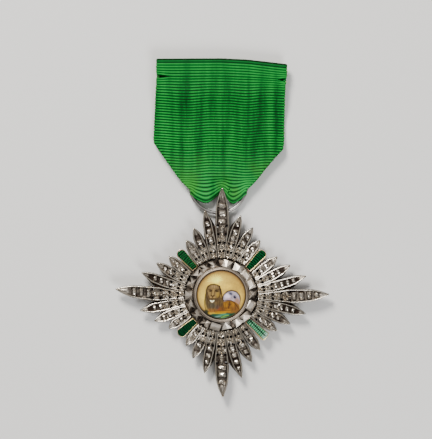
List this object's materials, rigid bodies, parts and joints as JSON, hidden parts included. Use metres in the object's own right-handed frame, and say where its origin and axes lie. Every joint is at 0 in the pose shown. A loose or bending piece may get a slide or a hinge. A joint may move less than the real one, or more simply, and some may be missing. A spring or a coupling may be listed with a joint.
{
  "type": "breast star",
  "caption": "Cross-shaped silver breast star with pierced rays, green enamel rays on the diagonals and a painted round medallion, hung by a ring from a folded green ribbon.",
  "frame": {"origin": "the medallion's axis on the surface that the star lies on, which is the back face of the nut", "axes": "+Z rises out of the star's face, +Y runs up the ribbon to its top edge, +X is to the right seen from the front"},
  "size_m": [0.0626, 0.0992, 0.0066],
  "materials": {
    "star_silver": "cast and pierced antique silver, dark in its recesses",
    "boss_silver": "faceted silver, polished on its crests",
    "cup_silver": "plain silver, lightly polished rim",
    "gilt_tray": "worn pale gilt",
    "green_enamel": "glossy translucent green enamel",
    "painted_enamel": "glossy painted enamel",
    "ring_silver": "dull round silver wire",
    "nut_silver": "turned silver, dull",
    "ribbon_cloth": "watered and ribbed green silk",
    "pin_steel": "plated spring wire and bar"
  },
  "bodies": {
    "root": {"arm_top": "star_silver", "arm_right": "star_silver", "arm_bottom": "star_silver", "arm_left": "star_silver", "enamel_tray_1": "gilt_tray", "enamel_tray_2": "gilt_tray", "enamel_tray_3": "gilt_tray", "enamel_tray_4": "gilt_tray", "enamel_ray_1": "green_enamel", "enamel_ray_2": "green_enamel", "enamel_ray_3": "green_enamel", "enamel_ray_4": "green_enamel", "boss_ring": "boss_silver", "medallion_cup": "cup_silver", "medallion": "painted_enamel", "back_nut": "nut_silver", "hanging_eye": "star_silver", "suspension_ring": "ring_silver", "ribbon": "ribbon_cloth", "brooch_pin": "pin_steel"}
  },
  "joints": []
}
